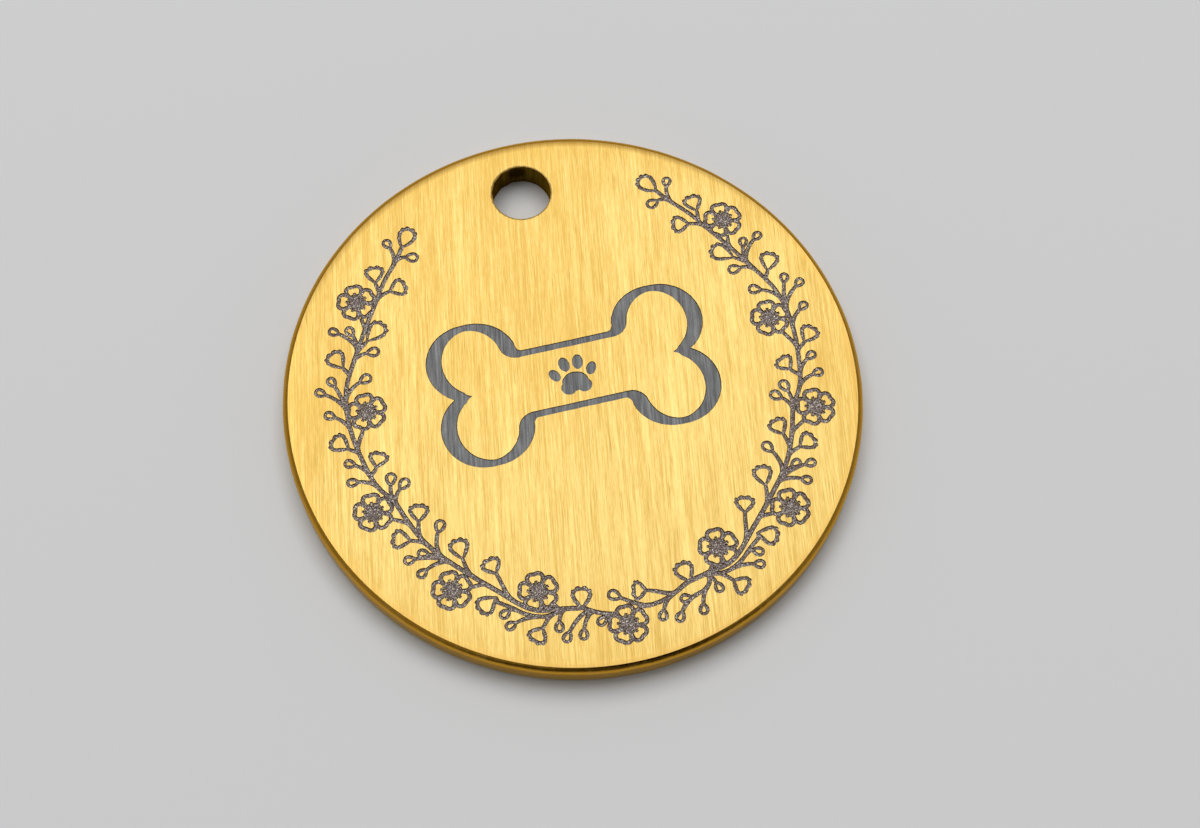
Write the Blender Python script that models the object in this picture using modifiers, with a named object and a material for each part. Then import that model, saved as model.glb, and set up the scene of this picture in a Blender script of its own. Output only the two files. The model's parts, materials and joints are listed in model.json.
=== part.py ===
"""Round metal dog tag: a flat disc with a polished rim and one hole for a split ring.

Run it with blender --background --python part.py, or from Blender's text editor.
The tag lies on its back: the origin is the centre of the back face, +Z is up through the
engraved face, and +Y points from the centre to the hole. Units are metres.
"""

import math

import bpy

# Driving dimensions
TAG_DIAMETER = 0.0300
TAG_THICKNESS = 0.0016
SHOULDER_WIDTH = 0.0003
SHOULDER_SLOPE = math.radians(7)
CORNER_WIDTH = 0.00029
CORNER_HEIGHT = 0.0003
CORNER_SLOPE = math.radians(32)
HOLE_DIAMETER = 0.0032
HOLE_EDGE_WEB = 0.00155

# Facets
DISC_SEGMENTS = 128
SHOULDER_SEGMENTS = 2
CORNER_SEGMENTS = 4
HOLE_SEGMENTS = 48

# Cutters reach this far past the face that they open
CUTTER_OVERRUN = 0.0005

# Finish
GOLD = (0.91, 0.66, 0.21, 1.0)
GOLD_ROUGHNESS = 0.32

TAG_RADIUS = TAG_DIAMETER / 2
HOLE_RADIUS = HOLE_DIAMETER / 2
HOLE_CENTRE_Y = TAG_RADIUS - HOLE_EDGE_WEB - HOLE_RADIUS


def clear_scene():
    """Remove the objects that the file opened with."""
    for old in list(bpy.data.objects):
        bpy.data.objects.remove(old)


def new_collection(name):
    made = bpy.data.collections.new(name)
    bpy.context.scene.collection.children.link(made)
    return made


def metal(name, colour, roughness):
    """A metallic finish of one colour."""
    made = bpy.data.materials.new(name)
    made.use_nodes = True
    shader = made.node_tree.nodes["Principled BSDF"]
    shader.inputs["Base Color"].default_value = colour
    shader.inputs["Roughness"].default_value = roughness
    shader.inputs["Metallic"].default_value = 1.0
    made.diffuse_color = colour
    return made


def rim_profile():
    """Half of the disc's section, from the middle of the face over the rim to the back.

    Brushing leaves a shoulder, an arc that falls from the flat face to SHOULDER_SLOPE.
    Polishing breaks the edge there at CORNER_SLOPE and rounds it to the straight side.
    The back is the same.
    """
    edge = TAG_RADIUS - CORNER_WIDTH
    flat = edge - SHOULDER_WIDTH
    bend = SHOULDER_WIDTH / math.sin(SHOULDER_SLOPE)
    upper = []
    for step in range(SHOULDER_SEGMENTS + 1):
        slope = SHOULDER_SLOPE * step / SHOULDER_SEGMENTS
        upper.append((flat + bend * math.sin(slope), bend * (1 - math.cos(slope))))
    fall = bend * (1 - math.cos(SHOULDER_SLOPE))
    for step in range(1, CORNER_SEGMENTS + 1):
        slope = CORNER_SLOPE + (math.pi / 2 - CORNER_SLOPE) * step / CORNER_SEGMENTS
        out = (math.sin(slope) - math.sin(CORNER_SLOPE)) / (1 - math.sin(CORNER_SLOPE))
        down = 1 - math.cos(slope) / math.cos(CORNER_SLOPE)
        upper.append((edge + CORNER_WIDTH * out, fall + CORNER_HEIGHT * down))
    face = [(radius, TAG_THICKNESS - drop) for radius, drop in upper]
    return [(0.0, TAG_THICKNESS), *face, *reversed(upper), (0.0, 0.0)]


def turned_disc(name, collection):
    """The blank: the profile turned about Z by a Screw modifier."""
    points = rim_profile()
    mesh = bpy.data.meshes.new(name)
    mesh.from_pydata(
        [(radius, 0.0, height) for radius, height in points],
        [(index, index + 1) for index in range(len(points) - 1)],
        [],
    )
    made = bpy.data.objects.new(name, mesh)
    collection.objects.link(made)
    turn = made.modifiers.new("turn", "SCREW")
    turn.axis = "Z"
    turn.steps = DISC_SEGMENTS
    turn.render_steps = DISC_SEGMENTS
    turn.use_merge_vertices = True
    turn.merge_threshold = 0.000001
    return made


def hole_cutter(collection):
    """A round punch through the disc, below the middle of its upper edge."""
    bpy.ops.mesh.primitive_cylinder_add(
        vertices=HOLE_SEGMENTS,
        radius=HOLE_RADIUS,
        depth=TAG_THICKNESS + 2 * CUTTER_OVERRUN,
        location=(0.0, HOLE_CENTRE_Y, TAG_THICKNESS / 2),
    )
    made = bpy.context.object
    made.name = "hole_cutter"
    for owner in list(made.users_collection):
        owner.objects.unlink(made)
    collection.objects.link(made)
    made.hide_render = True
    made.display_type = "WIRE"
    return made


def cut(target, cutter):
    """Take cutter's shape out of target."""
    made = target.modifiers.new(cutter.name, "BOOLEAN")
    made.operation = "DIFFERENCE"
    made.object = cutter
    return made


def build():
    clear_scene()
    parts = new_collection("dog_tag")
    cutters = new_collection("cutters")
    tag = turned_disc("tag_disc", parts)
    tag.data.materials.append(metal("gold_finish", GOLD, GOLD_ROUGHNESS))
    cut(tag, hole_cutter(cutters))


build()
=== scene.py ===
"""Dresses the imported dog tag.

One piece stands for the plain disc of the frame: a tag with brushed gold faces, a polished rim,
a cut hole, an etched wreath of twigs, buds and blossoms, and an etched bone with a paw print.
All sizes are in metres. The face looks along +Z and the hole lies towards +Y.
"""

import cmath
import json
import math
from collections import namedtuple

import bmesh
import bpy
from mathutils import Matrix, Vector, noise

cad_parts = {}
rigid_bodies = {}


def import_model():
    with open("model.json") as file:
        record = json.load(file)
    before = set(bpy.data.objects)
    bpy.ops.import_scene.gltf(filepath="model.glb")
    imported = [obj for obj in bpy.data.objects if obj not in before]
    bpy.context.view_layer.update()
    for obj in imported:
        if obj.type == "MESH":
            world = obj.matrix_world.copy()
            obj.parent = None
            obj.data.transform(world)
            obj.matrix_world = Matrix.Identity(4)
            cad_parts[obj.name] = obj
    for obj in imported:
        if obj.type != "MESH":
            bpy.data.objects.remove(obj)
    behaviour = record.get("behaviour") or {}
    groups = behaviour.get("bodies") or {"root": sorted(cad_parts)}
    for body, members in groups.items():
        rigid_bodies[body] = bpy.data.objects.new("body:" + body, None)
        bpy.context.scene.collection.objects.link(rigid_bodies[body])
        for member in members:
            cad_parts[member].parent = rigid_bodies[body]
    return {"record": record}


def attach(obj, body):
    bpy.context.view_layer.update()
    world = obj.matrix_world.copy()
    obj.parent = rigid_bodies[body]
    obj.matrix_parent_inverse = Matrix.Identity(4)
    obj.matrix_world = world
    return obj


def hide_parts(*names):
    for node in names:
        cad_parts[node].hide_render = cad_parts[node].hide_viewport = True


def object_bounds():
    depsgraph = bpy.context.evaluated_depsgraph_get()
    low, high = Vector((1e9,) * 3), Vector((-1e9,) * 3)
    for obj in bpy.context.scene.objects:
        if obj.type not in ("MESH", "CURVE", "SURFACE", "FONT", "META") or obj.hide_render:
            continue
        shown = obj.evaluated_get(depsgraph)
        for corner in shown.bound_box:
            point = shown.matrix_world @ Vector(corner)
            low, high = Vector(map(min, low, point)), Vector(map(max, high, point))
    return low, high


bl_info = {
    "name": "Dog Tag Finish",
    "version": (1, 0, 0),
    "blender": (4, 5, 0),
    "location": "3D View > Sidebar > Dog Tag",
    "description": "Engraves and finishes a round metal pet tag",
    "category": "Object",
}

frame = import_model()
CAD_LOW, CAD_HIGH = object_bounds()

MM = 0.001
RING_HOLE = next(mount for mount in frame["record"]["mounts"] if mount["name"] == "ring_hole")

Branch = namedtuple("Branch", "halves points widths buds large_buds leaves blossoms")

# The wreath, drawn about its own centre. Places are degrees from the hole, clockwise in the
# right half and mirrored in the left, and millimetres from the centre. A branch runs from its
# tip to its foot. A bud is its place and the angle at which its stalk leaves the branch, and a
# leaf also has the place where its stalk meets it.
BOTH, RIGHT, LEFT = (1, -1), (1,), (-1,)
BRANCHES = (
    Branch(
        BOTH,
        (
            (34.3, 12.4), (38, 12.12), (44.7, 11.9), (51.9, 11.65), (61.4, 11.6), (67.6, 11.7),
            (75.8, 11.93), (85.6, 11.86), (95.1, 11.65), (102.7, 11.5), (109.4, 11.14),
            (114.2, 11.17), (123.7, 11.33), (135.6, 11.35), (145.1, 11.56), (152.7, 11.95),
            (156, 12.0), (161, 11.8), (166, 11.7),
        ),
        (0.235, 0.265),
        (
            (36, 13.1, 39.5), (60.3, 12.3, 65.5), (61.4, 13.1, 65.3), (73.9, 12.7, 82.5),
            (76.6, 13.25, 82), (82.3, 12.8, 86.7), (95.2, 12.3, 99.6), (99.8, 12.5, 103.5),
            (123.2, 12.5, 131), (124.5, 11.8, 130.5), (127.5, 12.6, 131.3), (161.2, 12.7, 162.5),
        ),
        (
            (34.8, 11.6, 38.3), (64.5, 10.85, 68), (72.7, 11.0, 78.5), (103.1, 10.7, 109.8),
            (106.1, 10.25, 110.2), (122.5, 10.2, 128.5),
        ),
        (
            (43.9, 12.6, 45.9, 12.25, 48), (43.9, 11.05, 46.1, 11.35, 50),
            (58.1, 11.0, 61.8, 11.3, 65.7), (68, 12.65, 70.1, 12.2, 72),
            (89.4, 12.55, 91.4, 12.15, 93.3), (96.2, 10.85, 98.3, 11.1, 100.4),
            (117.9, 12.1, 119.9, 11.75, 123.3), (115.3, 10.45, 117.5, 10.8, 121.3),
            (130.7, 10.45, 133.4, 10.85, 138), (140.9, 10.45, 143.1, 10.75, 149.5),
            (166.2, 11.1, 166.3, 11.75, 166.6),
        ),
        (
            (52.6, 12.6, 59), (82.2, 10.9, 92.7), (108.7, 12.3, 117), (135.4, 12.5, 142),
            (155.1, 11.05, 161),
        ),
    ),
    Branch(
        BOTH,
        ((145.6, 12.1), (149.4, 12.15), (153, 12.3), (156, 12.32), (158.5, 12.2), (162, 11.8)),
        (0.215, 0.235),
        ((148.7, 12.55, 150.8), (150.7, 13.05, 156.3)),
        (),
        ((143.9, 12.45, 145.3, 11.9, 146), (156.8, 13.3, 157.6, 12.85, 159.4)),
        (),
    ),
    Branch(
        RIGHT,
        ((165, 11.68), (167.6, 11.73), (172.1, 11.98), (175.3, 12.08), (178.5, 12.06), (180.5, 11.95)),
        (0.265, 0.235),
        ((175.4, 12.77, 171.8),),
        (),
        ((179.2, 11.2, 177.3, 11.3, 170.5),),
        (),
    ),
    Branch(
        RIGHT,
        ((170.3, 12.75), (169, 12.6), (167, 12.48), (164, 12.43), (162.2, 12.2), (161.3, 11.8)),
        (0.215, 0.235),
        ((172, 13.15, 169), (169.1, 12.4, 166.5), (166.7, 13.28, 163.3)),
        (),
        (),
        (),
    ),
    Branch(
        LEFT,
        ((165, 11.68), (166.5, 11.7), (168.8, 11.9), (171.9, 12.07), (174.8, 12.18)),
        (0.265, 0.235),
        ((163.1, 13.2, 168.8), (166.6, 13.05, 169.2), (170.9, 12.42, 174)),
        (),
        (),
        (),
    ),
)
TIP_BUD = (31.6, 12.64)
LAST_BUD = (185.4, 11.2)
FOOT_BLOSSOM = (183.4, 12.78)


class TagSizes(bpy.types.PropertyGroup):
    """The blank: its rim and its hole."""

    radius: bpy.props.FloatProperty(
        name="Radius", description="Half of the disc's diameter", default=CAD_HIGH.x, unit="LENGTH"
    )
    thickness: bpy.props.FloatProperty(
        name="Thickness", description="From the back to the face", default=CAD_HIGH.z, unit="LENGTH"
    )
    rim_width: bpy.props.FloatProperty(
        name="Rim width", description="Width of the polished corner, seen from above",
        default=0.29 * MM, unit="LENGTH",
    )
    rim_height: bpy.props.FloatProperty(
        name="Rim height", description="Height of the polished corner", default=0.3 * MM, unit="LENGTH"
    )
    rim_slope: bpy.props.FloatProperty(
        name="Rim slope", description="Slope of the polished corner where it meets the brushed face",
        default=math.radians(32), unit="ROTATION",
    )
    shoulder_width: bpy.props.FloatProperty(
        name="Shoulder width", description="How far in from the rim the brushed face starts to fall",
        default=0.3 * MM, unit="LENGTH",
    )
    shoulder_slope: bpy.props.FloatProperty(
        name="Shoulder slope", description="Slope of the brushed face where it meets the rim",
        default=math.radians(7), unit="ROTATION",
    )
    rim_wave: bpy.props.FloatProperty(
        name="Rim wave", description="How far polishing has eaten into the side, at most",
        default=0.03 * MM, unit="LENGTH",
    )
    hole_radius: bpy.props.FloatProperty(
        name="Hole radius", description="Half of the hole's diameter", default=1.6 * MM, unit="LENGTH"
    )
    hole_roughness: bpy.props.FloatProperty(
        name="Hole roughness", description="Depth of the marks that the cut left in the hole's wall",
        default=0.025 * MM, unit="LENGTH",
    )


class EngravingSizes(bpy.types.PropertyGroup):
    """The etched lines, the wreath's motifs and the emblem."""

    depth: bpy.props.FloatProperty(
        name="Depth", description="From the face to the floor of a line", default=0.05 * MM, unit="LENGTH"
    )
    flank: bpy.props.FloatProperty(
        name="Flank", description="Width of a line's stained flank, seen from above",
        default=0.035 * MM, unit="LENGTH",
    )
    line: bpy.props.FloatProperty(
        name="Line", description="Width of stalks and outlines", default=0.235 * MM, unit="LENGTH"
    )
    hair: bpy.props.FloatProperty(
        name="Hair", description="Width of a stamen", default=0.095 * MM, unit="LENGTH"
    )
    bud: bpy.props.FloatVectorProperty(
        name="Bud", description="Width and length of a small bud's outline",
        default=(0.37 * MM, 0.53 * MM), size=2, unit="LENGTH",
    )
    large_bud: bpy.props.FloatVectorProperty(
        name="Large bud", description="Width and length of a large bud's outline",
        default=(0.45 * MM, 0.63 * MM), size=2, unit="LENGTH",
    )
    leaf_width: bpy.props.FloatProperty(
        name="Leaf width", description="Width of a leaf's outline", default=0.86 * MM, unit="LENGTH"
    )
    tip_bud: bpy.props.FloatVectorProperty(
        name="Tip bud", description="Width and length of the bud at the wreath's tip",
        default=(0.82 * MM, 1.12 * MM), size=2, unit="LENGTH",
    )
    blossom_radius: bpy.props.FloatProperty(
        name="Blossom radius", description="From a blossom's middle to its petals' edge",
        default=1.1 * MM, unit="LENGTH",
    )
    wreath_shift: bpy.props.FloatVectorProperty(
        name="Wreath shift", description="How far the wreath was set off the disc's centre",
        default=(0.22 * MM, -0.02 * MM), size=2, unit="LENGTH",
    )
    wreath_turn: bpy.props.FloatProperty(
        name="Wreath turn", description="How far the wreath was turned against the hole",
        default=math.radians(0.75), unit="ROTATION",
    )
    emblem_centre: bpy.props.FloatVectorProperty(
        name="Emblem centre", description="Middle of the bone on the face",
        default=(0.2 * MM, 0.9 * MM), size=2, unit="LENGTH",
    )
    pen_thin: bpy.props.FloatProperty(
        name="Thin stroke", description="Width of the bone's line where it runs level",
        default=0.36 * MM, unit="LENGTH",
    )
    pen_thick: bpy.props.FloatProperty(
        name="Thick stroke", description="Width of the bone's line where it runs upright",
        default=0.85 * MM, unit="LENGTH",
    )


class FinishColours(bpy.types.PropertyGroup):
    """The metal's colours and the direction of the brushing."""

    gold: bpy.props.FloatVectorProperty(
        name="Gold", description="The coating between brush marks", default=(0.79, 0.60, 0.22),
        size=3, subtype="COLOR",
    )
    # Deep gold is also the colour of the painted shade that deepens the face by place.
    gold_deep: bpy.props.FloatVectorProperty(
        name="Deep gold", description="The coating in the brush marks", default=(0.66, 0.43, 0.105),
        size=3, subtype="COLOR",
    )
    rim_gold: bpy.props.FloatVectorProperty(
        name="Rim gold", description="The coating on the polished rim", default=(0.60, 0.31, 0.03),
        size=3, subtype="COLOR",
    )
    # The wall's own brown; a darker copy of it stands for burn and painted shade on the side of the edge.
    hole_wall: bpy.props.FloatVectorProperty(
        name="Hole wall", description="The burnt wall of the hole", default=(0.45, 0.29, 0.06),
        size=3, subtype="COLOR",
    )
    etched: bpy.props.FloatVectorProperty(
        name="Etched steel", description="The floor of the etched lines", default=(0.119, 0.1205, 0.1195),
        size=3, subtype="COLOR",
    )
    scorched: bpy.props.FloatVectorProperty(
        name="Scorched edge", description="The heat-stained sides of the etched lines",
        default=(0.085, 0.05, 0.05), size=3, subtype="COLOR",
    )
    brush_lean: bpy.props.FloatProperty(
        name="Brush lean", description="Turn of the brush marks, clockwise from the hole",
        default=math.radians(10), unit="ROTATION",
    )


class StageSettings(bpy.types.PropertyGroup):
    """The floor, the light and the camera."""

    floor: bpy.props.FloatVectorProperty(
        name="Floor", description="The pale sheet that the tag lies on", default=(0.80, 0.80, 0.802),
        size=3, subtype="COLOR",
    )
    soft_light: bpy.props.FloatProperty(
        name="Soft light", description="Brightness of the lamp panel over the tag", default=2.43
    )
    camera_place: bpy.props.FloatVectorProperty(
        name="Camera", description="Where the camera stands",
        default=(-10.8 * MM, -38.7 * MM, 96.71 * MM), size=3, unit="LENGTH",
    )
    camera_aim: bpy.props.FloatVectorProperty(
        name="Aim", description="The point on the face at the middle of the picture",
        default=(0.985 * MM, -1.6 * MM, 1.6 * MM), size=3, unit="LENGTH",
    )
    camera_roll: bpy.props.FloatProperty(
        name="Roll", description="Turn of the camera about its own axis",
        default=math.radians(3.77), unit="ROTATION",
    )


def polar(degrees, millimetres):
    """A point of the wreath as a complex number: degrees clockwise from the hole, and radius."""
    return cmath.rect(millimetres * MM, math.radians(90 - degrees))


def unit(vector):
    return vector / abs(vector)


def branch_point(branch, degrees):
    """The point of a branch at an angle, on a smooth line through the branch's own points."""
    knots = sorted(branch.points)
    last = len(knots) - 2
    index = next((number for number in range(last) if degrees < knots[number + 1][0]), last)
    near, far = knots[index], knots[index + 1]
    before = knots[index - 1] if index else near
    after = knots[index + 2] if index < last else far
    span = far[0] - near[0]
    share = (degrees - near[0]) / span
    leave = (far[1] - before[1]) / (far[0] - before[0]) * span
    arrive = (after[1] - near[1]) / (after[0] - near[0]) * span
    radius = (
        near[1] * (1 + 2 * share) * (1 - share) ** 2
        + leave * share * (1 - share) ** 2
        + far[1] * share**2 * (3 - 2 * share)
        + arrive * share**2 * (share - 1)
    )
    return polar(degrees, radius)


def placed(points, root, heading):
    """A motif drawn from 0 towards +Y, put at root and turned to heading."""
    turn = heading / 1j
    return [root + point * turn for point in points]


def mirrored(points):
    """Points on the other side of the line through the hole."""
    return [complex(-point.real, point.imag) for point in points]


def headings(points):
    """The direction in which a line through points runs at each of them."""
    last = len(points) - 1
    return [
        unit(points[min(index + 1, last)] - points[max(index - 1, 0)]) for index in range(last + 1)
    ]


def groove(points, runs, widths, name, collection, closed=False):
    """A cutter along points: one section with sloping flanks, extruded from point to point.

    It stands square to the direction in runs. A closed one goes on from its last point to its first.
    """
    sizes = bpy.context.scene.engraving_sizes
    depth = sizes.depth
    slope = min(0.6, 2 * sizes.flank / max(widths))
    section = [(-1 - slope, depth), (1 + slope, depth), (1 - slope, -depth), (slope - 1, -depth)]
    made = bmesh.new()
    start = end = made.faces.new([made.verts.new((x, 0, z)) for x, z in section])
    before = Matrix.Identity(4)
    for index, (point, run, width) in enumerate(zip(points, runs, widths)):
        here = Matrix.Translation((point.real, point.imag, 0))
        here = here @ Matrix.Rotation(cmath.phase(run / 1j), 4, "Z")
        here = here @ Matrix.Diagonal((width / 2, 1, 1, 1))
        if index:
            inner = end
            grown = bmesh.ops.extrude_face_region(made, geom=[end])["geom"]
            end = next(item for item in grown if isinstance(item, bmesh.types.BMFace))
            if index > 1:
                bmesh.ops.delete(made, geom=[inner], context="FACES_ONLY")
        bmesh.ops.transform(made, matrix=here @ before.inverted(), verts=end.verts[:])
        before = here
    if closed:
        gap = [*start.edges, *end.edges]
        bmesh.ops.delete(made, geom=[start, end], context="FACES_ONLY")
        bmesh.ops.bridge_loops(made, edges=gap)
    return cutter(made, name, collection)


def pit(centre, across, along, lean, name, collection):
    """A closed cutter for a solid oval, leaning by an angle."""
    depth = bpy.context.scene.engraving_sizes.depth
    made = bmesh.new()
    bmesh.ops.create_circle(made, cap_ends=True, segments=44, radius=1)
    place = Matrix.Translation((centre.real, centre.imag, -depth))
    place = place @ Matrix.Rotation(lean, 4, "Z") @ Matrix.Diagonal((across, along, 1, 1))
    bmesh.ops.transform(made, matrix=place, verts=made.verts[:])
    grown = bmesh.ops.extrude_face_region(made, geom=made.faces[:])["geom"]
    top = [item for item in grown if isinstance(item, bmesh.types.BMVert)]
    widen = Matrix.Translation((centre.real, centre.imag, 0))
    widen = widen @ Matrix.Scale(1.06, 4) @ widen.inverted()
    bmesh.ops.transform(made, matrix=widen, verts=top)
    for vert in top:
        vert.co.z = depth / 2
    return cutter(made, name, collection)


def cutter(made, name, collection):
    """Make a cutter of a finished bmesh: its outline gets ragged, and it is lifted to the face."""
    ragged_edge = 0.016 * MM
    grain = 0.11 * MM
    for vert in made.verts:
        ragged = noise.noise_vector(Vector((vert.co.x, vert.co.y, 0)) / grain)
        vert.co.x += ragged.x * ragged_edge
        vert.co.y += ragged.y * ragged_edge
    bmesh.ops.translate(made, vec=(0, 0, bpy.context.scene.tag_sizes.thickness), verts=made.verts[:])
    bmesh.ops.recalc_face_normals(made, faces=made.faces[:])
    mesh = bpy.data.meshes.new(name)
    made.to_mesh(mesh)
    made.free()
    shaped = bpy.data.objects.new(name, mesh)
    collection.objects.link(shaped)
    return shaped


class WreathArtist:
    """Draws the wreath's strokes as cutters, in either half or in both."""

    def __init__(self, collection):
        self.sizes = bpy.context.scene.engraving_sizes
        self.collection = collection
        self.halves = BOTH
        self.count = 0

    def stroke(self, points, widths, middle=None):
        """Draw a line, or an outline round a middle where that is given."""
        shift = complex(*self.sizes.wreath_shift)
        turn = cmath.rect(1, self.sizes.wreath_turn)
        for half in self.halves:
            self.count += 1
            name = f"wreath_cut_{self.count:03d}"
            on_tag = [shift + complex(half * point.real, point.imag) * turn for point in points]
            if middle is None:
                groove(on_tag, headings(on_tag), widths, name, self.collection)
            else:
                inside = shift + complex(half * middle.real, middle.imag) * turn
                round_it = [(point - inside) * 1j for point in on_tag]
                groove(on_tag, round_it, widths, name, self.collection, closed=True)

    def branch(self, branch):
        """Draw a branch with everything that grows on it."""
        sizes = self.sizes
        self.halves = branch.halves
        first, last = branch.points[0][0], branch.points[-1][0]
        steps = round(abs(last - first) * 2)
        shares = [step / steps for step in range(steps + 1)]
        tip, foot = branch.widths
        self.stroke(
            [branch_point(branch, first + (last - first) * share) for share in shares],
            [(tip + (foot - tip) * share) * MM for share in shares],
        )
        for rows, size in ((branch.buds, sizes.bud), (branch.large_buds, sizes.large_bud)):
            for angle, radius, root_angle in rows:
                centre, root = polar(angle, radius), branch_point(branch, root_angle)
                away = math.copysign(0.5, angle - root_angle)
                along = unit(branch_point(branch, root_angle + away) - root)
                heading = unit(centre - root - along * abs(centre - root) * 0.35)
                base = centre - heading * size[1] / 2
                self.stalk(root, along, base, heading)
                self.drop(base, heading, size, 0.8)
        for angle, radius, base_angle, base_radius, root_angle in branch.leaves:
            base, root = polar(base_angle, base_radius), branch_point(branch, root_angle)
            away = math.copysign(0.5, angle - root_angle)
            along = unit(branch_point(branch, root_angle + away) - root)
            reach = polar(angle, radius) - base
            self.stalk(root, along, base, unit(reach))
            self.drop(base, unit(reach), (sizes.leaf_width, abs(reach) * 1.6), 1.5, beads=6)
        for angle, radius, root_angle in branch.blossoms:
            centre, root = polar(angle, radius), branch_point(branch, root_angle)
            along = unit(branch_point(branch, root_angle - 0.5) - root)
            heading = unit(centre - root)
            self.stalk(root, along, centre - heading * 0.85 * sizes.blossom_radius, heading)
            self.blossom(centre)

    def stalk(self, root, along, end, heading):
        """Draw a stalk that leaves its branch along it and bends to arrive on a heading."""
        reach = abs(end - root)
        pull = reach * 0.4
        knots = (root, root + along * pull * 0.6, end - heading * pull, end)
        steps = round(reach / (0.12 * MM)) if reach > 0.3 * MM else 1
        shares = [step / steps for step in range(steps + 1)]
        points = [
            sum(
                knot * math.comb(3, number) * share**number * (1 - share) ** (3 - number)
                for number, knot in enumerate(knots)
            )
            for share in shares
        ]
        self.stroke(points, [self.sizes.line * (1.15 - 0.3 * share) for share in shares])

    def drop(self, root, heading, size, fullness, beads=0):
        """Draw a drop-shaped outline, pointed at its root and scalloped where it has beads."""
        width, length = size
        steps = max(12, beads * 9)
        upward = [math.pi * (step / steps) ** 0.65 for step in range(steps + 1)]
        angles = upward + [math.tau - angle for angle in reversed(upward[1:-1])]
        swell = max(math.sin(angle) * math.sin(angle / 2) ** fullness for angle in upward)
        outline, widths = [], []
        for angle in angles:
            bulge = math.sin(angle) * math.sin(angle / 2) ** fullness / swell
            hem = min(1, max(0, 2.5 * min(angle, math.tau - angle) / math.pi - 0.9))
            bead = (2 * abs(math.sin(beads * angle)) - 1) * hem
            reach = 1 + 0.022 * bead
            outline.append(complex(width / 2 * bulge, length * (1 - math.cos(angle)) / 2) * reach)
            widths.append(self.sizes.line * (0.92 + 0.2 * bead))
        middle = placed([0.6j * length], root, heading)[0]
        self.stroke(placed(outline, root, heading), widths, middle)

    def blossom(self, centre):
        """Draw five notched petals round a middle with three stamens to each petal."""
        line = self.sizes.line
        hair = self.sizes.hair
        radius = self.sizes.blossom_radius - line / 2
        steps = 22
        for petal in range(5):
            heading = 1j * cmath.rect(1, math.radians(72) * petal)
            half = []
            for step in range(steps + 1):
                angle = math.pi * (step - 0.8) / steps
                notch = 0.06 * math.exp(-((angle / 0.32) ** 2))
                out = radius * (0.64 + 0.36 * math.cos(angle) - notch)
                aside = radius * 0.40 * math.sin(angle) * (1 + 0.25 * math.cos(angle))
                half.append(complex(aside, out))
            widths = [line * (0.95 if step < steps * 0.7 else 0.75) for step in range(steps + 1)]
            for side in (half, mirrored(half)):
                self.stroke(placed(side, centre, heading), widths)
            for lean in (-19, 0, 19):
                reach = 0.52 if lean else 0.6
                way = heading * cmath.rect(1, math.radians(lean))
                shares = (0.1, 0.3, reach - 0.14, reach - 0.07, reach)
                self.stroke(
                    [centre + way * radius * share for share in shares],
                    [1.5 * hair, 1.3 * hair, 1.2 * hair, 1.8 * hair, 1.4 * hair],
                )
        disc = [centre + heading * radius * share * 0.3 for share in (-1, -0.6, 0.6, 1)]
        self.stroke(disc, [radius * 0.34, radius * 0.6, radius * 0.6, radius * 0.34])


class DOGTAG_OT_wreath(bpy.types.Operator):
    """Draw the wreath as cutters"""

    bl_idname = "dogtag.wreath"
    bl_label = "Draw wreath"

    def execute(self, context):
        sizes = context.scene.engraving_sizes
        artist = WreathArtist(bpy.data.collections["cutters"])
        tip = polar(*BRANCHES[0].points[0])
        heading = unit(polar(*TIP_BUD) - tip)
        artist.drop(tip, heading, sizes.tip_bud, 0.9, beads=6)
        for branch in BRANCHES:
            artist.branch(branch)
        artist.halves = RIGHT
        tail = BRANCHES[2]
        root = branch_point(tail, 177.5)
        along = unit(branch_point(tail, 178) - root)
        centre = polar(*LAST_BUD)
        heading = unit(centre - polar(183, 11.5))
        base = centre - heading * sizes.large_bud[1] / 2
        artist.stalk(root, along, base, heading)
        artist.drop(base, heading, sizes.large_bud, 0.8)
        artist.blossom(polar(*FOOT_BLOSSOM))
        return {"FINISHED"}


def bone_quarter():
    """The bone's outline from the middle of its top, round one knuckle, to the notch in its end."""
    shaft = 1.75 * MM
    knuckle = 2.0 * MM
    knuckle_centre = complex(4.95, 1.85) * MM
    fillet = 0.7 * MM
    spread = knuckle + fillet
    drop = knuckle_centre.imag - (shaft + fillet)
    fillet_centre = complex(knuckle_centre.real - math.sqrt(spread**2 - drop**2), shaft + fillet)
    meeting = cmath.phase(knuckle_centre - fillet_centre)
    notch = -math.asin(knuckle_centre.imag / knuckle)
    points = [complex(x * MM, shaft) for x in (-0.15, 0.4, 0.8, 1.2, 1.6)]
    steps = 12
    for step in range(steps):
        angle = -math.pi / 2 + (meeting + math.pi / 2) * step / steps
        points.append(fillet_centre + cmath.rect(fillet, angle))
    steps = 64
    start = math.pi + meeting
    for step in range(steps + 1):
        angle = start + (notch - start) * step / steps
        points.append(knuckle_centre + cmath.rect(knuckle, angle))
    return points + [points[-1] - 0.15 * MM, points[-1] - 0.32 * MM]


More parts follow.
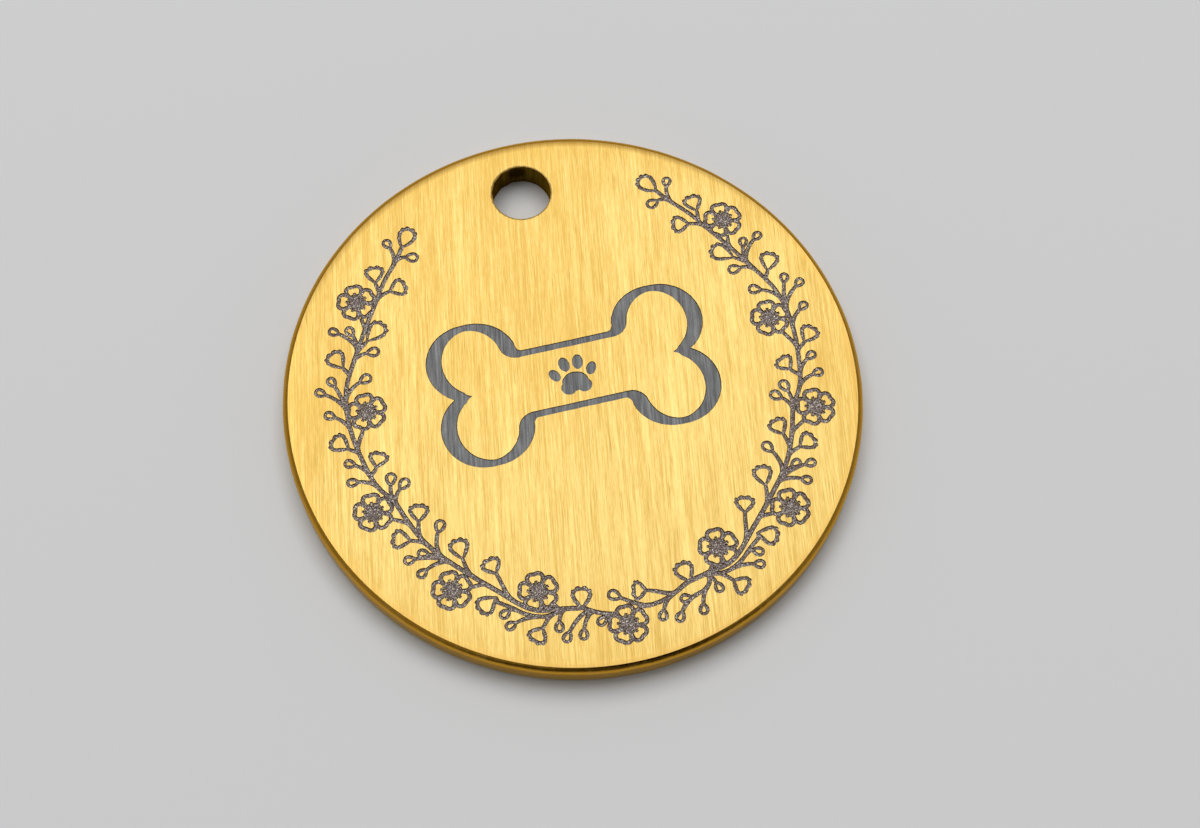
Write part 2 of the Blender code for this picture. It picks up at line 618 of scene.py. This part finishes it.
class DOGTAG_OT_emblem(bpy.types.Operator):
    """Draw the bone and its paw print as cutters"""

    bl_idname = "dogtag.emblem"
    bl_label = "Draw emblem"

    def execute(self, context):
        sizes = context.scene.engraving_sizes
        cutters = bpy.data.collections["cutters"]
        centre = complex(*sizes.emblem_centre)
        quarter = bone_quarter()
        widths = []
        for run in headings(quarter):
            widths.append(sizes.pen_thin + (sizes.pen_thick - sizes.pen_thin) * abs(run.imag) ** 1.4)
        widths[-2:] = [sizes.pen_thin * 0.55, sizes.pen_thin * 0.15]
        for number, (across, up) in enumerate(((1, 1), (-1, 1), (1, -1), (-1, -1))):
            points = [centre + complex(p.real * across, p.imag * up) for p in quarter]
            groove(points, headings(points), widths, f"emblem_cut_{number}", cutters)
        pads = (
            (0, -0.42, 0.66, 0.52, 0), (0.42, -0.72, 0.38, 0.36, 20), (-0.42, -0.72, 0.38, 0.36, -20),
            (0.36, 0.62, 0.27, 0.40, -8), (-0.36, 0.62, 0.27, 0.40, 8),
            (0.97, 0.12, 0.25, 0.36, -28), (-0.97, 0.12, 0.25, 0.36, 28),
        )
        for number, (x, y, across, along, lean) in enumerate(pads):
            pit(
                centre + complex(x, y) * MM, across * MM, along * MM, math.radians(lean),
                f"paw_cut_{number}", cutters,
            )
        return {"FINISHED"}


class DOGTAG_OT_blank(bpy.types.Operator):
    """Turn the blank and make the cutter for its hole"""

    bl_idname = "dogtag.blank"
    bl_label = "Make blank"

    def execute(self, context):
        sizes = context.scene.tag_sizes
        made = bmesh.new()
        profile = self.profile(sizes)
        vert = made.verts.new(profile[0])
        for point in profile[1:]:
            vert = bmesh.ops.extrude_vert_indiv(made, verts=[vert])["verts"][0]
            vert.co = point
        bmesh.ops.spin(
            made, geom=made.verts[:] + made.edges[:], cent=(0, 0, 0), axis=(0, 0, 1),
            angle=math.tau, steps=384, use_merge=True,
        )
        rings = [edge for edge in made.edges if edge.is_boundary]
        bmesh.ops.holes_fill(made, edges=rings, sides=0)
        bmesh.ops.recalc_face_normals(made, faces=made.faces[:])
        self.wear(made, sizes)
        self.divide_face(made, sizes)
        mesh = bpy.data.meshes.new("tag")
        made.to_mesh(mesh)
        made.free()
        tag = bpy.data.objects.new("tag", mesh)
        context.scene.collection.objects.link(tag)
        cutters = bpy.data.collections.new("cutters")
        context.scene.collection.children.link(cutters)
        self.punch(context, cutters)
        return {"FINISHED"}

    def profile(self, sizes):
        """The edge's section: a falling shoulder, a rounded corner, the side and the same below."""
        edge = sizes.radius - sizes.rim_width
        bend = sizes.shoulder_width / math.sin(sizes.shoulder_slope)
        upper = []
        steps = 4
        for step in range(steps + 1):
            slope = sizes.shoulder_slope * step / steps
            inset = sizes.shoulder_width - bend * math.sin(slope)
            upper.append((edge - inset, bend * (1 - math.cos(slope))))
        fall = upper[-1][1]
        start = sizes.rim_slope
        steps = 9
        for step in range(1, steps + 1):
            slope = start + (math.pi / 2 - start) * step / steps
            out = (math.sin(slope) - math.sin(start)) / (1 - math.sin(start))
            down = 1 - math.cos(slope) / math.cos(start)
            upper.append((edge + sizes.rim_width * out, fall + sizes.rim_height * down))
        top, foot = sizes.thickness, fall + sizes.rim_height
        side = [(sizes.radius, foot + (top - 2 * foot) * share) for share in (0.25, 0.5, 0.75)]
        half = [(x, 0, top - down) for x, down in upper + side]
        return half + [(x, 0, down) for x, down in reversed(upper)]

    def wear(self, made, sizes):
        """Polishing left the side slightly uneven: it is eaten in here and there."""
        wave = 1.1 * MM
        fine = 0.35 * MM
        for vert in made.verts:
            depth = 1 - abs(2 * vert.co.z / sizes.thickness - 1)
            eaten = noise.noise(vert.co / wave) + 0.5 * noise.noise(vert.co / fine)
            share = max(0, min(1, 0.5 + 0.5 * eaten)) * min(1, 2 * depth)
            out = Vector((vert.co.x, vert.co.y, 0)).normalized()
            vert.co -= out * sizes.rim_wave * share

    def divide_face(self, made, sizes):
        """Divide the face into small squares, so that no polygon holds more than a few lines."""
        square = 0.6 * MM
        count = int(sizes.radius / square)
        for line in range(-count, count + 1):
            for across in ((1, 0, 0), (0, 1, 0)):
                top = [facet for facet in made.faces if facet.normal.z > 0.999]
                rims = {edge for facet in top for edge in facet.edges}
                corners = {vert for facet in top for vert in facet.verts}
                bmesh.ops.bisect_plane(
                    made, geom=[*top, *rims, *corners], plane_co=Vector(across) * line * square,
                    plane_no=across,
                )

    def punch(self, context, cutters):
        """The hole's cutter: marks run down its wall, and one side is cut in short straight steps."""
        sizes = context.scene.tag_sizes
        made = bmesh.new()
        over = sizes.thickness / 3
        bmesh.ops.create_cone(
            made, cap_ends=True, segments=120, radius1=sizes.hole_radius, radius2=sizes.hole_radius,
            depth=sizes.thickness + 2 * over,
        )
        upright = [edge for edge in made.edges if abs(edge.verts[0].co.z - edge.verts[1].co.z) > over]
        bmesh.ops.subdivide_edges(made, edges=upright, cuts=24)
        for vert in made.verts:
            turn = math.atan2(vert.co.y, vert.co.x)
            rib = noise.noise(Vector((9 * math.cos(turn), 9 * math.sin(turn), vert.co.z * 900)))
            facet = noise.noise(Vector((2.2 * math.cos(turn), 2.2 * math.sin(turn), 7)))
            out = Vector((vert.co.x, vert.co.y, 0)).normalized()
            step = math.tau / 15
            flat = 1 - math.cos(step / 2) / math.cos(turn % step - step / 2)
            flat *= max(0, math.cos(turn - 0.8 * math.pi))
            vert.co -= out * sizes.hole_radius * flat
            vert.co -= out * sizes.hole_roughness * (0.5 + 0.5 * rib + 0.6 * abs(facet))
        x, y, _ = RING_HOLE["pos_m"]
        bmesh.ops.translate(made, vec=(x, y, sizes.thickness / 2), verts=made.verts[:])
        bmesh.ops.recalc_face_normals(made, faces=made.faces[:])
        mesh = bpy.data.meshes.new("hole_cut")
        made.to_mesh(mesh)
        made.free()
        cutters.objects.link(bpy.data.objects.new("hole_cut", mesh))


class Signal:
    """A number in a material, so that shader maths reads as Python."""

    def __init__(self, nodes, socket):
        self.nodes = nodes
        self.socket = socket

    def _math(self, operation, first, second=0.0):
        return self.nodes.add("ShaderNodeMath", {"operation": operation}, {0: first, 1: second})

    def __add__(self, other):
        return self._math("ADD", self, other)

    __radd__ = __add__

    def __sub__(self, other):
        return self._math("SUBTRACT", self, other)

    def __rsub__(self, other):
        return self._math("SUBTRACT", other, self)

    def __mul__(self, other):
        return self._math("MULTIPLY", self, other)

    __rmul__ = __mul__

    def spread(self, low, high):
        """0 where this is at most low, 1 where it is at least high, and a straight run between."""
        return self.nodes.add(
            "ShaderNodeMapRange", {"clamp": True},
            {"Value": self, "From Min": low, "From Max": high},
        )


class Nodes:
    """A node tree, with the one way that nodes are added to it."""

    def __init__(self, tree):
        self.tree = tree

    def add(self, kind, settings=None, inputs=None, output=0):
        node = self.tree.nodes.new(kind)
        for name, value in (settings or {}).items():
            if name == "stops":
                for number, (place, colour) in enumerate(value):
                    ramp = node.color_ramp.elements
                    stop = ramp[number] if number < len(ramp) else ramp.new(place)
                    stop.position = place
                    stop.color = colour
            else:
                setattr(node, name, value)
        for name, value in (inputs or {}).items():
            self.feed(node.inputs[name], value)
        return Signal(self, node.outputs[output])

    def feed(self, socket, value):
        if isinstance(value, Signal):
            self.tree.links.new(value.socket, socket)
        else:
            socket.default_value = value


class Finish(Nodes):
    """A metal finish: a material whose patterns are drawn in the tag's own coordinates."""

    def __init__(self, name, colour, roughness, metallic=1.0):
        self.material = bpy.data.materials.new(name)
        self.material.use_nodes = True
        super().__init__(self.material.node_tree)
        self.shader = self.tree.nodes["Principled BSDF"]
        self.shader.inputs["Base Color"].default_value = (*colour, 1)
        self.shader.inputs["Roughness"].default_value = roughness
        self.shader.inputs["Metallic"].default_value = metallic

    def grain(self, across, along, upright, lean=0.0, detail=2.0):
        """Noise whose features measure across by along by upright, turned clockwise by lean."""
        place = self.add("ShaderNodeTexCoord", output="Object")
        turned = self.add(
            "ShaderNodeMapping", {"vector_type": "TEXTURE"},
            {"Vector": place, "Rotation": (0, 0, -lean), "Scale": (across, along, upright)},
        )
        return self.add(
            "ShaderNodeTexNoise", {"noise_dimensions": "3D"},
            {"Vector": turned, "Scale": 1.0, "Detail": detail}, output="Fac",
        )

    def along(self, axis):
        """The tag's own coordinate along an axis."""
        place = self.add("ShaderNodeTexCoord", output="Object")
        return self.add("ShaderNodeSeparateXYZ", inputs={0: place}, output=axis)

    def reach(self, centre):
        """Distance from a point of the tag."""
        place = self.add("ShaderNodeTexCoord", output="Object")
        return self.add(
            "ShaderNodeVectorMath", {"operation": "DISTANCE"}, {0: place, 1: centre}, output="Value"
        )

    def mix(self, share, first, second):
        """A colour between two colours, each a tuple or a Signal."""
        first, second = ((*c, 1) if isinstance(c, tuple) else c for c in (first, second))
        return self.add(
            "ShaderNodeMix", {"data_type": "RGBA"}, {0: share, 6: first, 7: second}, output=2
        )

    def set(self, **channels):
        for name, value in channels.items():
            self.feed(self.shader.inputs[name.replace("_", " ").title()], value)

    def bump(self, height, distance, strength=1.0):
        normal = self.add(
            "ShaderNodeBump", {}, {"Height": height, "Distance": distance, "Strength": strength},
        )
        self.feed(self.shader.inputs["Normal"], normal)


def brushed_gold(colours):
    """Brush marks, long and short, and thin dark scratches.

    The tone is painted deeper, as painted shade, between the bone and the hole, near the edge, in a
    ring on the upper part of the face, and most of all at the four ends of the brushing's two
    directions. A thin band at the edge itself is painted lighter, a painted highlight, and only past
    the hole the edge is painted brown instead, painted shade where the face rolls off. The face
    turns dark brown in a ragged ring at the hole's edge.
    """
    gold, deep = tuple(colours.gold), tuple(colours.gold_deep)
    finish = Finish("brushed_gold", gold, 0.5)
    lean = colours.brush_lean
    fine = finish.grain(0.034 * MM, 1.8 * MM, MM, lean, detail=2)
    flecks = finish.grain(0.03 * MM, 0.4 * MM, MM, lean, detail=1)
    medium = finish.grain(0.085 * MM, 5 * MM, MM, lean, detail=1)
    broad = finish.grain(0.6 * MM, 9 * MM, MM, lean, detail=1)
    marks = (fine * 0.45 + flecks * 0.2 + medium * 0.2 + broad * 0.15).spread(0.40, 0.60)
    out = finish.reach((0, 0, 1.5 * MM))
    # Painted shade, deepening the gold by place: between the bone and the hole, at the four ends of the
    # brushing's two directions, near the edge and in a ring on the upper part.
    depth = finish.reach((-2 * MM, 5 * MM, 1.6 * MM)).spread(10 * MM, 3 * MM) * 0.3
    for x, y, share in ((-12.9, 2.2, 0.45), (1, 13, 0.3), (12.9, -2.3, 0.3), (-2.3, -13.2, 0.25)):
        end = finish.reach((x * MM, y * MM, 1.6 * MM)).spread(4.5 * MM, 0.5 * MM)
        depth = depth + end * share
    past = finish.along("Y").spread(5 * MM, 14 * MM)
    depth = depth + out.spread(13.4 * MM, 14.4 * MM) * (0.15 + 0.15 * past)
    # Painted shade in a ring on the upper part of the face.
    upper = finish.along("Y").spread(-6 * MM, 8 * MM)
    depth = depth + out.spread(9.5 * MM, 12.5 * MM) * upper * 0.12
    tone = finish.mix(marks + 0.06 - depth, deep, gold)
    # A painted highlight: a thin band at the edge is painted a lighter gold, fading out past the hole.
    painted_edge_highlight = out.spread(14.35 * MM, 14.7 * MM) * (0.55 - past)
    tone = finish.mix(painted_edge_highlight, tone, (0.95, 0.60, 0.16))
    scratch = finish.grain(0.028 * MM, 1.8 * MM, MM, lean, detail=1).spread(0.69, 0.76)
    # Painted shade that turns the edge brown past the hole, where the face rolls off; the real dark
    # scratches share that brown.
    roll = out.spread(14.35 * MM, 14.74 * MM) * past
    scratches_and_painted_shade = finish.mix(scratch * 0.5 + roll * 0.85, tone, (0.26, 0.13, 0.02))
    x, y, _ = RING_HOLE["pos_m"]
    ragged = finish.grain(0.12 * MM, 0.12 * MM, 0.12 * MM, detail=2)
    cut = (finish.reach((x, y, 1.6 * MM)) + ragged * 0.1 * MM).spread(1.73 * MM, 1.67 * MM)
    finish.set(base_color=finish.mix(cut * 0.85, scratches_and_painted_shade, (0.12, 0.075, 0.02)))
    finish.set(roughness=0.56 - 0.06 * marks)
    finish.bump(fine * 0.5 + flecks * 0.5, 0.002 * MM)
    return finish.material


def polished_rim(colours):
    """Brown gold that pales to the back, a painted reflection of the floor, and a ragged, nearly black
    line at the foot of the face on the -Y side, a painted dark reflection.
    """
    rim = tuple(colours.rim_gold)
    finish = Finish("polished_rim", rim, 0.2)
    finish.shader.inputs["Specular Tint"].default_value = (1, 0.85, 0.55, 1)
    blotches = finish.grain(0.5 * MM, 0.5 * MM, 0.3 * MM, detail=3)
    ragged = finish.grain(0.12 * MM, 0.12 * MM, 0.12 * MM, detail=2)
    # Painted reflection of the floor: the rim pales towards the back, with random blotches of paler tone.
    pale = finish.along("Z").spread(1.2 * MM, 0.2 * MM) * 0.8 + blotches.spread(0.5, 0.7) * 0.12
    # A painted dark reflection: nearly black in a ragged line at the foot of the face, only on the -Y
    # side.
    painted_dark_reflection = (finish.reach((0, 0, 1.5 * MM)) + ragged * 0.09 * MM).spread(14.87 * MM, 14.81 * MM)
    painted_dark_reflection = painted_dark_reflection * finish.along("Y").spread(-13.9 * MM, -14.7 * MM)
    tone = finish.mix(pale, rim, (0.56, 0.44, 0.22))
    finish.set(base_color=finish.mix(painted_dark_reflection, tone, (0.06, 0.018, 0.003)))
    finish.set(roughness=0.14 + 0.2 * blotches)
    finish.bump(blotches, 0.02 * MM)
    return finish.material


def burnt_and_shaded_wall(colours):
    """The cut's wall: darker on the side of the edge, as burn and painted shade, nearly black in that
    side's middle as painted shade, olive brown beyond.
    """
    brown = tuple(colours.hole_wall)
    finish = Finish("burnt_and_shaded_hole_wall", brown, 0.5)
    finish.shader.inputs["Specular Tint"].default_value = (0.5, 0.36, 0.12, 1)
    ribs = finish.grain(0.13 * MM, 0.13 * MM, 1.5 * MM, detail=3)
    x, y, _ = RING_HOLE["pos_m"]
    # The wall keeps its olive brown on the side towards the lamp. Elsewhere it darkens, partly burn and
    # partly painted shade.
    lit_side = finish.reach((x + 0.6 * MM, y - 2 * MM, MM)).spread(3.6 * MM, 1.1 * MM)
    burnt_and_shaded = tuple(value * 0.25 for value in brown)
    # Painted shade, nearly black, in the middle of the wall on the side of the edge.
    middle = finish.reach((x + 0.1 * MM, y + 1.6 * MM, MM)).spread(0.7 * MM, 0.35 * MM)
    share = lit_side * 0.9 + ribs.spread(0.42, 0.65) * 0.25
    finish.set(base_color=finish.mix(middle * 0.8, finish.mix(share, burnt_and_shaded, brown), (0.01, 0.006, 0.002)))
    finish.bump(ribs, 0.03 * MM)
    return finish.material


def etched_emblem(colours):
    steel = tuple(colours.etched)
    finish = Finish("etched_emblem", steel, 0.5)
    lean = colours.brush_lean
    streaks = finish.grain(0.09 * MM, 1.6 * MM, MM, lean, detail=3).spread(0.35, 0.7)
    mottle = finish.grain(0.05 * MM, 0.05 * MM, MM, detail=2)
    bright = tuple(value * 1.65 for value in steel)
    dark = tuple(value * 0.76 for value in steel)
    finish.set(base_color=finish.mix(streaks, dark, bright), roughness=0.42 + 0.2 * mottle)
    finish.bump(mottle, 0.008 * MM)
    return finish.material


def etched_lines(colours):
    """Light specks of bare steel in a dark, slightly purple stain."""
    finish = Finish("etched_lines", tuple(colours.etched), 0.45)
    specks = finish.grain(0.05 * MM, 0.05 * MM, MM, detail=3).spread(0.40, 0.63)
    bright, dark = (0.40, 0.36, 0.32), (0.10, 0.062, 0.055)
    finish.set(base_color=finish.mix(specks, dark, bright), roughness=0.5 - 0.2 * specks)
    finish.bump(specks, 0.012 * MM)
    return finish.material


def scorched_edge(colours):
    scorched = tuple(colours.scorched)
    finish = Finish("scorched_edge", scorched, 0.5)
    stain = finish.grain(0.12 * MM, 0.12 * MM, MM, detail=2)
    finish.set(base_color=finish.mix(stain.spread(0.4, 0.75), scorched, (0.14, 0.085, 0.05)))
    return finish.material


class DOGTAG_OT_engrave(bpy.types.Operator):
    """Cut the drawn lines and the hole into the blank and give each surface its finish"""

    bl_idname = "dogtag.engrave"
    bl_label = "Engrave and finish"

    def execute(self, context):
        tag = bpy.data.objects["tag"]
        cutters = bpy.data.collections["cutters"]
        cut = tag.modifiers.new("engraving", "BOOLEAN")
        cut.operand_type = "COLLECTION"
        cut.collection = cutters
        cut.solver = "MANIFOLD"
        blank = tag.data
        engraved = bpy.data.meshes.new_from_object(
            tag.evaluated_get(context.evaluated_depsgraph_get())
        )
        tag.modifiers.remove(cut)
        tag.data = engraved
        engraved.name = "tag"
        bpy.data.meshes.remove(blank)
        for used in list(cutters.objects):
            bpy.data.meshes.remove(used.data)
        bpy.data.collections.remove(cutters)
        if len(engraved.polygons) < 1000:
            raise RuntimeError("The cutters did not cut the blank.")
        self.finish_surfaces(context, tag)
        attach(tag, "root")
        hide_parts("tag_disc")
        return {"FINISHED"}

    def finish_surfaces(self, context, tag):
        colours = context.scene.finish_colours
        sizes = context.scene.tag_sizes
        face, rim, wall, emblem, lines, edge = range(6)
        tag.data.materials.clear()
        for make in (brushed_gold, polished_rim, burnt_and_shaded_wall, etched_emblem, etched_lines, scorched_edge):
            tag.data.materials.append(make(colours))
        hole = Vector(RING_HOLE["pos_m"][:2])
        touch = 0.01 * MM
        emblem_reach = 8.5 * MM
        for polygon in tag.data.polygons:
            at = polygon.center
            out = Vector(at.xy).length
            level = abs(polygon.normal.z) > 0.999
            if level and (at.z > sizes.thickness - touch or at.z < touch):
                surface = face
            elif level:
                surface = emblem if out < emblem_reach else lines
            elif out > sizes.radius - sizes.rim_width - touch:
                surface = rim
            elif out > sizes.radius - sizes.rim_width - sizes.shoulder_width - touch:
                surface = face
            elif (Vector(at.xy) - hole).length < sizes.hole_radius + touch:
                surface = wall
            else:
                surface = edge
            polygon.material_index = surface
        self.shade(tag.data)

    def shade(self, mesh):
        """Smooth shading, broken at sharp corners and where one finish meets another."""
        made = bmesh.new()
        made.from_mesh(mesh)
        corner = math.radians(35)
        for edge in made.edges:
            kinds = {facet.material_index for facet in edge.link_faces}
            edge.smooth = len(kinds) == 1 and edge.calc_face_angle(0) < corner
        for facet in made.faces:
            facet.smooth = True
        made.to_mesh(mesh)
        made.free()


class DOGTAG_OT_stage(bpy.types.Operator):
    """Lay the floor, hang the lamp and set the camera"""

    bl_idname = "dogtag.stage"
    bl_label = "Set the stage"

    def execute(self, context):
        settings = context.scene.stage_settings
        self.floor(context, settings)
        self.light(context, settings)
        self.surroundings(context)
        self.camera(context, settings)
        context.scene.view_settings.view_transform = "Standard"
        return {"FINISHED"}

    def floor(self, context, settings):
        made = bmesh.new()
        bmesh.ops.create_grid(made, x_segments=1, y_segments=1, size=3)
        bmesh.ops.translate(made, vec=(0, 0, -0.02 * MM), verts=made.verts[:])
        mesh = bpy.data.meshes.new("floor")
        made.to_mesh(mesh)
        made.free()
        finish = Finish("floor_sheet", tuple(settings.floor), 0.85, metallic=0.0)
        finish.shader.inputs["Specular IOR Level"].default_value = 0.2
        mesh.materials.append(finish.material)
        floor = bpy.data.objects.new("floor", mesh)
        context.scene.collection.objects.link(floor)

    def light(self, context, settings):
        """A soft panel over the tag, a little beyond it as the camera sees it."""
        lamp = bpy.data.lights.new("soft_panel", "AREA")
        lamp.shape = "RECTANGLE"
        lamp.size = 1.1
        lamp.size_y = 0.9
        lamp.energy = settings.soft_light * math.pi * lamp.size * lamp.size_y
        panel = bpy.data.objects.new("soft_panel", lamp)
        panel.location = (0.05, 0.50, 0.9)
        context.scene.collection.objects.link(panel)

    def surroundings(self, context):
        """A softly lit room: paler low down, and dark behind the camera."""
        world = bpy.data.worlds.new("room")
        context.scene.world = world
        world.use_nodes = True
        nodes = Nodes(world.node_tree)
        way = nodes.add("ShaderNodeTexCoord", output="Generated")
        height = nodes.add("ShaderNodeSeparateXYZ", inputs={0: way}, output="Z")
        back = nodes.add("ShaderNodeSeparateXYZ", inputs={0: way}, output="Y").spread(-0.42, -0.65)
        low = height.spread(0.40, 0.26)
        room = 0.28 + 0.20 * low - 0.25 * back * height.spread(0.88, 0.72) * (1 - low)
        nodes.feed(world.node_tree.nodes["Background"].inputs["Color"], room)

    def camera(self, context, settings):
        lens = bpy.data.cameras.new("camera")
        lens.lens = 60
        lens.clip_start = MM
        lens.clip_end = 20
        camera = bpy.data.objects.new("camera", lens)
        place, aim = Vector(settings.camera_place), Vector(settings.camera_aim)
        level = (aim - place).to_track_quat("-Z", "Y").to_matrix().to_4x4()
        roll = Matrix.Rotation(settings.camera_roll, 4, "Z")
        camera.matrix_world = Matrix.Translation(place) @ level @ roll
        context.scene.collection.objects.link(camera)
        context.scene.camera = camera


class DOGTAG_PT_sidebar(bpy.types.Panel):
    """The tag's steps in the 3D view's sidebar"""

    bl_label = "Dog Tag"
    bl_idname = "DOGTAG_PT_sidebar"
    bl_space_type = "VIEW_3D"
    bl_region_type = "UI"
    bl_category = "Dog Tag"

    def draw(self, context):
        for step in STEPS:
            self.layout.operator(step.bl_idname)


GROUPS = {
    "tag_sizes": TagSizes,
    "engraving_sizes": EngravingSizes,
    "finish_colours": FinishColours,
    "stage_settings": StageSettings,
}
STEPS = (DOGTAG_OT_blank, DOGTAG_OT_wreath, DOGTAG_OT_emblem, DOGTAG_OT_engrave, DOGTAG_OT_stage)


def register():
    for name, group in GROUPS.items():
        bpy.utils.register_class(group)
        setattr(bpy.types.Scene, name, bpy.props.PointerProperty(type=group))
    for step in STEPS:
        bpy.utils.register_class(step)
    bpy.utils.register_class(DOGTAG_PT_sidebar)


def unregister():
    bpy.utils.unregister_class(DOGTAG_PT_sidebar)
    for step in reversed(STEPS):
        bpy.utils.unregister_class(step)
    for name, group in GROUPS.items():
        delattr(bpy.types.Scene, name)
        bpy.utils.unregister_class(group)


def main():
    register()
    bpy.ops.dogtag.blank()
    bpy.ops.dogtag.wreath()
    bpy.ops.dogtag.emblem()
    bpy.ops.dogtag.engrave()
    bpy.ops.dogtag.stage()


if __name__ == "__main__":
    main()
